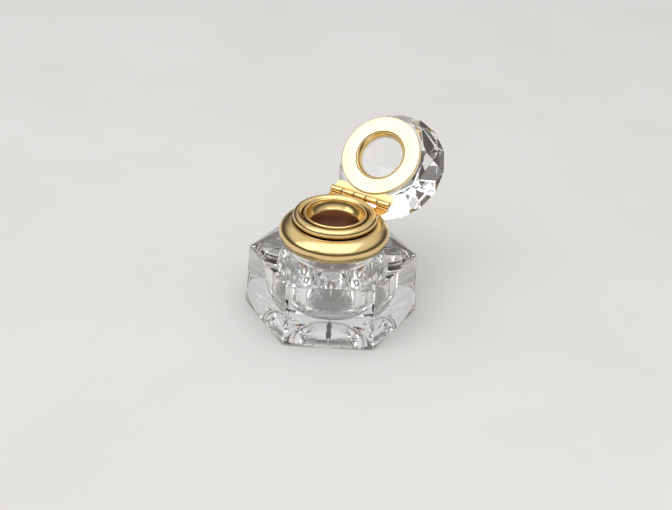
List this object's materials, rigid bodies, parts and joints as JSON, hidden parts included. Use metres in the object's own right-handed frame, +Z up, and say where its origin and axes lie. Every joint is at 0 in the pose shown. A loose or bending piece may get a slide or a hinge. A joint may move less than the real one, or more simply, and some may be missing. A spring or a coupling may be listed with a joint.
{
  "type": "ink bottle",
  "caption": "Hexagonal cut-crystal inkwell with a gilt brass collar, a flared mouth and a hinged faceted crystal lid standing open.",
  "frame": {"origin": "centre of the crystal block's foot, on the surface it stands on", "axes": "+Z up, +Y towards the hinge at the back, +X along the hinge axis to the right seen from the front"},
  "size_m": [0.0606, 0.0948, 0.0677],
  "materials": {
    "crystal": "polished colourless lead crystal",
    "gilt_brass": "polished gilt brass, darker in its grooves",
    "pale_gilt": "flat lapped pale gilt face",
    "pin_steel": "dull drawn wire",
    "cement": "dry plaster cement"
  },
  "bodies": {
    "bottle": {"crystal_block": "crystal", "neck_cement": "cement", "collar_shell": "gilt_brass", "rim_ring": "gilt_brass", "mouth_liner": "gilt_brass", "collar_hinge_leaf": "gilt_brass", "hinge_pin": "pin_steel"},
    "lid": {"lid_hinge_leaf": "gilt_brass", "lid_ring": "pale_gilt", "lid_bezel": "gilt_brass", "lid_cement": "cement", "lid_crystal": "crystal"}
  },
  "joints": [
    {"name": "lid_hinge", "type": "hinge", "parent": "bottle", "child": "lid", "pos_m": [0, 0.0194, 0.04215], "axis": [1, 0, 0], "range_deg": [0, 132.5]}
  ]
}
